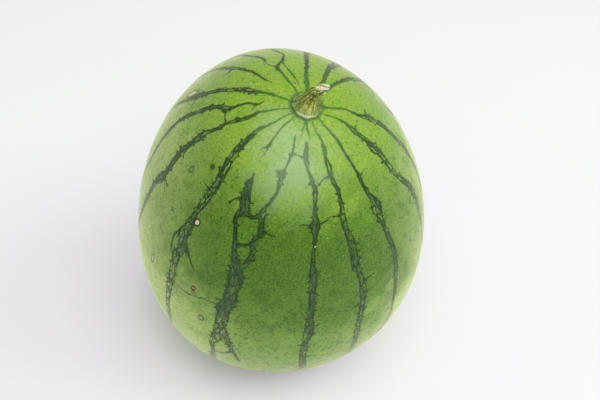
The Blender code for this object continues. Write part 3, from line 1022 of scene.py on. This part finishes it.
@dataclass
class Stalk:
    """The dried stub of the stalk: a ridged cone, its bleached tip and a torn strand."""

    form: RindForm = field(default_factory=RindForm)
    finish: StalkFinish = field(default_factory=StalkFinish)
    rise: float = 15.0
    bend: float = math.radians(100.0)
    lean: float = 2.0
    reach: float = 7.2
    back: float = 4.2
    torn_start: tuple[float, float, float] = (2.2, 0.9, 7.0)
    torn_reach: float = 5.8
    torn_back: float = 1.7
    torn_rise: float = 4.7
    foot_radius: float = 8.9
    foot_lip: float = 0.7
    foot_share: float = 0.03
    neck_radius: float = 2.9
    neck_share: float = 0.5
    tip_radius: float = 1.5
    flare_power: float = 2.1
    ridge_count: int = 9
    ridge_depth: float = 0.13
    ridge_twist: float = math.radians(55.0)
    slow_ridge_share: float = 0.6
    slow_ridge_count: int = 2
    slow_ridge_turn: float = 0.8
    seat_gap: float = 0.3
    rim_rise: float = 0.03
    torn_radius: float = 1.9
    torn_taper: float = 0.5
    torn_flatness: float = 0.7
    tip_bluntness: float = 0.4
    line_step: float = 0.01
    segments: int = 216
    seat_rings: int = 10
    lip_rings: int = 4
    side_rings: int = 170
    cap_rings: int = 6
    brown: tuple[Hollow, ...] = (
        Hollow(0.34, -6.0, 0.06, 34.0, 0.22),
        Hollow(0.24, -22.0, 0.03, 12.0, 0.08),
    )
    moss: tuple[Hollow, ...] = (Hollow(0.47, 0.0, 0.07, 42.0, 0.2), Hollow(0.6, 20.0, 0.03, 40.0, 0.05))
    callus: tuple[Hollow, ...] = (
        Hollow(0.0, -24.0, 0.018, 22.0, 0.0),
        Hollow(0.0, 14.0, 0.012, 26.0, 0.0),
    )

    def frame(self) -> Matrix:
        """Right, back and outward axes on the rind at the stalk's foot."""
        step = np.full(4, 0.05)
        quarters = np.array([0.0, math.pi, math.pi / 2, -math.pi / 2])
        ring = self.form.points(self.form.directions(step, quarters))
        outward = Vector(np.cross(ring[0] - ring[1], ring[2] - ring[3])).normalized()
        right = (Vector((1.0, 0.0, 0.0)) - outward * outward.x).normalized()
        axes = Matrix((right, outward.cross(right), outward)).transposed().to_4x4()
        pole = self.form.points(self.form.directions(np.zeros(1), np.zeros(1)))[0]
        return Matrix.Translation(Vector(pole)) @ axes

    def main_line(self, share: Rows) -> Rows:
        """Points on the stalk's centre line: it leans, rises and bends over to the right."""
        right = self.lean * share + self.reach * share**3
        return np.column_stack((right, self.back * share, self.rise * np.sin(self.bend * share)))

    def torn_line(self, share: Rows) -> Rows:
        """Points on the torn strand's centre line."""
        rise = self.torn_rise * np.sin(math.pi / 2.0 * share)
        run = np.column_stack((self.torn_reach * share, self.torn_back * share**2, rise))
        return np.array(self.torn_start) + run

    def across(self, line: Callable[[Rows], Rows], share: Rows) -> tuple[Rows, ...]:
        """A centre line's forward direction and two directions across it, the first to the front."""
        ahead = line(share + self.line_step) - line(share - self.line_step)
        ahead /= np.linalg.norm(ahead, axis=1, keepdims=True)
        front = np.array([0.0, -1.0, 0.0])
        side = front - ahead * (ahead @ front)[:, None]
        side /= np.linalg.norm(side, axis=1, keepdims=True)
        return ahead, side, np.cross(ahead, side)

    def radius(self, share: Rows) -> Rows:
        """The stalk's mean radius, in millimetres."""
        flare = np.clip(1.0 - share / self.neck_share, 0.0, 1.0) ** self.flare_power
        cone = self.neck_radius + (self.foot_radius - self.foot_lip - self.neck_radius) * flare
        past = np.clip((share - self.neck_share) / (1.0 - self.neck_share), 0.0, 1.0)
        thin = self.neck_radius + (self.tip_radius - self.neck_radius) * past
        return np.where(share < self.neck_share, cone, thin)

    def ridges(self, angle: Rows, turn: Rows) -> Rows:
        """The main lengthwise ridges, from about -1.6 to 1.6."""
        slow = np.cos(self.slow_ridge_count * (angle - turn) + self.slow_ridge_turn)
        return np.cos(self.ridge_count * (angle - turn)) + self.slow_ridge_share * slow

    @staticmethod
    def sphere(name: str, segments: int, rings: int) -> tuple[Piece, Rows, Rows]:
        """A round primitive to draw out into a strand.

        Args:
            name: The object's name.
            segments: Points round it.
            rings: Bands from its bottom to its top.

        Returns:
            The object, and the ring number and the angle of each of its points.
        """
        deselect_all()
        bpy.ops.mesh.primitive_uv_sphere_add(segments=segments, ring_count=rings, radius=1.0)
        made = bpy.context.object
        made.name = name
        unit = point_rows(made.data)
        ring = np.rint((1.0 - np.arccos(np.clip(unit[:, 2], -1.0, 1.0)) / math.pi) * rings)
        return made, ring, np.arctan2(unit[:, 1], unit[:, 0])

    @staticmethod
    def grain(rows: Rows) -> Rows:
        """Smooth noise, from -1 to 1, at rows of places."""
        return np.array([noise.noise(Vector(row)) for row in rows])

    def seat(self, spread: Rows, angle: Rows) -> Rows:
        """Places on the underside, an even gap above the rind, in the stalk's own axes."""
        skin = self.form.points(self.form.directions(spread, angle - math.pi / 2.0))
        home = self.frame().inverted()
        local = skin @ np.array(home.to_3x3()).T + np.array(home.translation)
        return local / MM + np.array([0.0, 0.0, self.seat_gap])

    def lift_off_seat(self, places: Rows, angle: Rows, above: Rows) -> Rows:
        """Raise places that would dip under the foot's underside, by rings above its lip."""
        edge = self.seat(np.full(len(angle), self.foot_radius * MM / self.form.body_radius), angle)
        low = edge[:, 2] + self.rim_rise * np.maximum(above + 1.0, 1.0)
        return np.column_stack((places[:, :2], np.maximum(places[:, 2], low)))

    def main_strand(self) -> tuple[Piece, dict[str, Rows]]:
        """The stalk from its seat on the rind to the bleached tip."""
        lip_start = self.seat_rings
        side_start = lip_start + self.lip_rings
        cap_start = side_start + self.side_rings
        made, ring, angle = self.sphere("stalk", self.segments, cap_start + self.cap_rings)
        climb = np.clip((ring - side_start) / self.side_rings, 0.0, 1.0)
        share = self.foot_share + (1.0 - self.foot_share) * climb
        turn = self.ridge_twist * share
        ridge = self.ridges(angle, turn)
        lay = np.stack((np.cos(angle - turn), np.sin(angle - turn), share), axis=1)
        fine = self.grain(lay * (9.0, 9.0, 7.0)) + 0.6 * self.grain(lay * (21.0, 21.0, 12.0) + 5.0)
        strength = np.minimum(1.0, 0.3 + 2.5 * share)
        crisp = np.sign(ridge) * np.abs(ridge) ** 1.3 * 0.85
        factor = 0.98 + strength * self.ridge_depth * np.minimum(crisp, 1.2) * 0.8 + 0.06 * fine
        past = np.clip((share - 0.58) / 0.42, 0.0, 1.0)
        rope = np.cos(3.0 * angle - 7.5 * past) * 0.13 + np.cos(7.0 * angle - 12.0 * past + 1.0) * 0.05
        blend = np.clip(past * 6.0, 0.0, 1.0)
        factor = factor * (1.0 - blend) + (0.86 + rope + 0.03 * fine) * blend
        degrees = np.degrees(angle)
        for hollow in (*self.brown, *self.moss):
            factor = factor - hollow.depth * hollow.mask(share, degrees)
        reach = self.radius(share) * factor
        _, side, across = self.across(self.main_line, share)
        ahead = self.across(self.main_line, np.ones(1))[0]
        cap = np.clip((ring - cap_start) / self.cap_rings, 0.0, 1.0) * math.pi / 2.0
        reach = reach * np.cos(cap)
        round_it = side * np.cos(angle)[:, None] + across * np.sin(angle)[:, None]
        places = self.main_line(share) + round_it * reach[:, None]
        places = places + ahead * (np.sin(cap) * self.tip_radius * self.tip_bluntness)[:, None]

        places = self.lift_off_seat(places, angle, ring - side_start)
        spread = np.clip(ring / lip_start, 0.0, 1.0)
        scallop = 0.99 + 0.2 * self.ridge_depth * self.ridges(angle, 0.0 * turn) + 0.012 * fine
        under = self.seat(self.foot_radius * MM / self.form.body_radius * spread * scallop, angle)
        rise = np.clip((ring - lip_start) / self.lip_rings, 0.0, 1.0)[:, None]
        swell = np.sin(rise * math.pi) * 0.28
        over = under * (1.0 - rise) + places * rise + np.array([0.0, 0.0, 1.0]) * swell
        places = np.where((ring < side_start)[:, None], over, places)
        self.place(made, places)
        bleach = np.clip((share - 0.6) * 6.0 + 0.45 * fine + 0.2 * np.cos(angle + 2.4), 0.0, 1.0)
        shown = 0.6 * ridge * (1.0 - blend) + rope * 8.0 * blend + 1.2 * fine
        lip = np.where(ring < side_start, 0.0, share)
        groups = (self.brown, self.moss, self.callus)
        masks = [sum(hollow.mask(lip, degrees) for hollow in group) for group in groups]
        return made, {
            "fibre": np.stack((shown, share, bleach), axis=1),
            "lay": lay * (9.0, 9.0, 6.0),
            "wear": np.stack(masks, axis=1),
        }

    def torn_strand(self) -> tuple[Piece, dict[str, Rows]]:
        """The shorter, flatter strand torn away below the tip."""
        rings = 56
        made, ring, angle = self.sphere("torn_strand", 72, rings)
        share = np.clip((ring - 1.0) / (rings - 5.0), 0.0, 1.0)
        cap = np.clip((ring - (rings - 4.0)) / 4.0, 0.0, 1.0) * math.pi / 2.0
        lay = np.stack((np.cos(angle), np.sin(angle), share), axis=1)
        fine = self.grain(lay * (5.0, 5.0, 4.0) + 9.0)
        rope = 0.12 * np.cos(4.0 * angle + 3.0 * share)
        width = self.torn_radius * (1.0 - self.torn_taper * share)
        width = width * (0.88 + rope + 0.06 * fine) * np.cos(cap)
        width = np.where(ring < 0.5, 0.0, width)
        ahead, side, across = self.across(self.torn_line, share)
        places = self.torn_line(share) + side * (np.cos(angle) * width)[:, None]
        places = places + across * (np.sin(angle) * width * self.torn_flatness)[:, None]
        fray = 0.35 + 0.3 * np.cos(2.0 * angle) + 0.2 * fine
        places = places + ahead * (np.sin(cap) * fray * self.torn_radius * 0.3)[:, None]
        self.place(made, places)
        brown = np.exp(-(((share - 0.72) / 0.14) ** 2) - ((angle - 0.2) / 0.7) ** 2)
        none = np.zeros(len(share))
        bleach = np.clip(share * 0.9 - 0.25, 0.0, 1.0)
        return made, {
            "fibre": np.stack((rope * 8.0 + fine, 0.4 + 0.2 * share, bleach), axis=1),
            "lay": lay * (6.0, 6.0, 3.0),
            "wear": np.stack((brown, none, none), axis=1),
        }

    def place(self, made: Piece, places: Rows) -> None:
        """Set an object's points from places in the stalk's own axes, in millimetres."""
        frame = self.frame()
        points = places * MM @ np.array(frame.to_3x3()).T + np.array(frame.translation)
        made.data.vertices.foreach_set("co", points.astype(np.float32).ravel())
        made.data.update()

    def build(self, mottle: Tree) -> Piece:
        """Model and dress the stalk.

        Args:
            mottle: The shared group of skin unevenness.

        Returns:
            The finished piece.
        """
        stem, stem_rows = self.main_strand()
        torn, torn_rows = self.torn_strand()
        spots = [point_rows(stem.data), point_rows(torn.data)]
        tree = kdtree.KDTree(sum(len(rows) for rows in spots))
        for index, place in enumerate(np.vstack(spots)):
            tree.insert(place, index)
        tree.balance()
        join = stem.modifiers.new("torn_strand", "BOOLEAN")
        join.operation = "UNION"
        join.solver = "EXACT"
        join.object = torn
        deselect_all()
        stem.select_set(True)
        bpy.context.view_layer.objects.active = stem
        bpy.ops.object.modifier_apply(modifier=join.name)
        bpy.data.objects.remove(torn, do_unlink=True)
        near = np.array([tree.find(place)[1] for place in point_rows(stem.data)])
        for name, rows in stem_rows.items():
            store(stem.data, name, np.vstack((rows, torn_rows[name]))[near])
        stem.data.shade_smooth()
        stem.data.materials.clear()
        stem.data.materials.append(self.finish.build(mottle))
        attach(stem, ROOT)
        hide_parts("stem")
        LOG.info("stalk: %d vertices", len(stem.data.vertices))
        return stem


@dataclass
class Stage:
    """The surface, the light and the camera."""

    form: RindForm = field(default_factory=RindForm)
    elevation: float = math.radians(47.0)
    distance: float = 0.81
    lens: float = 76.9
    shift: tuple[float, float] = (0.0341, 0.0188)
    floor_half: float = 4.0
    cloth_colour: Colour = (0.66, 0.675, 0.65, 1.0)
    shade_colour: Colour = (0.9, 0.78, 1.0, 1.0)
    shade_middle: tuple[float, float, float] = (-0.025, 0.02, 0.0)
    bounce_colour: Colour = (0.28, 0.28, 0.28, 1.0)

    def floor(self) -> None:
        """Lay the pale surface that the fruit rests on: it glows, and its glow is weaker near the fruit as
        a painted shadow.
        """
        deselect_all()
        bpy.ops.mesh.primitive_plane_add(size=2.0 * self.floor_half)
        floor = bpy.context.object
        floor.name = "floor"
        material, graph, shader = new_material("glowing_cloth_painted_shadow")
        rays = graph.node("ShaderNodeLightPath")
        ground = graph.node("ShaderNodeTexCoord").outputs["Object"]
        away = graph.vector("LENGTH", ground)
        # The glow that light rays see: the floor lights the fruit from below like a lamp, weaker under the
        # fruit as a painted contact shadow.
        glow_for_light_rays = graph.fade(rays.outputs["Is Diffuse Ray"], 0.0, 1.0, 0.6, 1.15)
        graph.fill(
            shader,
            Base_Color=self.bounce_colour,
            Roughness=0.9,
            Emission_Color=WHITE,
            Emission_Strength=graph.times(glow_for_light_rays, graph.fade(away, 0.02, 0.1, 0.3, 1.0)),
        )
        cloth = graph.node("ShaderNodeBsdfPrincipled")
        # The glow the camera sees: weaker near the fruit as a painted shadow, stronger far off as painted
        # light, and tinted near the fruit to offset its green.
        near = graph.vector("LENGTH", graph.vector("SUBTRACT", ground, self.shade_middle))
        glow_and_painted_shadow = graph.fade(near, 0.045, 0.085, 0.17, 0.36)
        glow_and_painted_shadow = graph.plus(glow_and_painted_shadow, graph.fade(away, 0.5, 3.0, 0.0, 0.3))
        graph.fill(
            cloth,
            Base_Color=self.cloth_colour,
            Roughness=0.95,
            Specular_IOR_Level=0.0,
            Emission_Color=graph.mix(graph.fade(away, 0.08, 0.35), self.shade_colour, WHITE),
            Emission_Strength=glow_and_painted_shadow,
        )
        seen = graph.node("ShaderNodeMixShader")
        graph.feed(seen.inputs[0], rays.outputs["Is Camera Ray"])
        graph.feed(seen.inputs[1], shader.outputs[0])
        graph.feed(seen.inputs[2], cloth.outputs[0])
        graph.feed(material.node_tree.nodes["Material Output"].inputs["Surface"], seen.outputs[0])
        floor.data.materials.append(material)

    def lamp(self, name: str, place: tuple[float, float, float], size: float, watts: float) -> None:
        """Hang one soft square lamp aimed at the fruit."""
        light = bpy.data.lights.new(name, "AREA")
        light.shape = "SQUARE"
        light.size = size
        light.energy = watts
        lamp = bpy.data.objects.new(name, light)
        bpy.context.scene.collection.objects.link(lamp)
        lamp.location = place
        aim = Vector((0.0, 0.0, self.form.rest_height)) - Vector(place)
        lamp.rotation_euler = aim.to_track_quat("-Z", "Y").to_euler()

    def lights(self) -> None:
        """One broad soft lamp overhead, in a pale room that is brightest near eye level."""
        self.lamp("overhead", (0.15, -0.5, 1.5), 1.15, 15.0)
        self.lamp("window", (2.4, -0.3, 2.2), 1.8, 31.0)
        world = bpy.data.worlds.new("room")
        world.use_nodes = True
        graph = Graph(world.node_tree)
        background = world.node_tree.nodes["Background"]
        _, back, rise = graph.parts(graph.node("ShaderNodeTexCoord").outputs["Generated"])
        ring = graph.fade(rise, 0.0, 1.0, 0.85, 0.1)
        ring.node.interpolation_type = "LINEAR"
        level = graph.times(ring, graph.fade(back, -0.8, 0.1, 0.12, 1.0))
        background.inputs["Color"].default_value = (0.96, 0.98, 1.0, 1.0)
        graph.feed(background.inputs["Strength"], level)
        bpy.context.scene.world = world
        bpy.context.scene.view_settings.view_transform = "Standard"

    def camera(self) -> None:
        """Look down on the fruit from the front."""
        lens = bpy.data.cameras.new("camera")
        lens.lens = self.lens
        lens.shift_x, lens.shift_y = self.shift
        camera = bpy.data.objects.new("camera", lens)
        bpy.context.scene.collection.objects.link(camera)
        middle = Vector((0.0, 0.0, self.form.rest_height))
        away = Vector((0.0, -math.cos(self.elevation), math.sin(self.elevation)))
        camera.location = middle + away * self.distance
        camera.rotation_euler = (-away).to_track_quat("-Z", "Y").to_euler()
        bpy.context.scene.camera = camera

    def build(self) -> None:
        """Set the whole stage."""
        self.camera()
        self.floor()
        self.lights()


def main() -> None:
    """Build the fruit and its stalk, then set them on the stage."""
    logging.basicConfig(level=logging.INFO, format="%(name)s %(message)s")
    mottle = mottle_group()
    Fruit().build(mottle)
    Stalk().build(mottle)
    Stage().build()


if __name__ == "__main__":
    main()
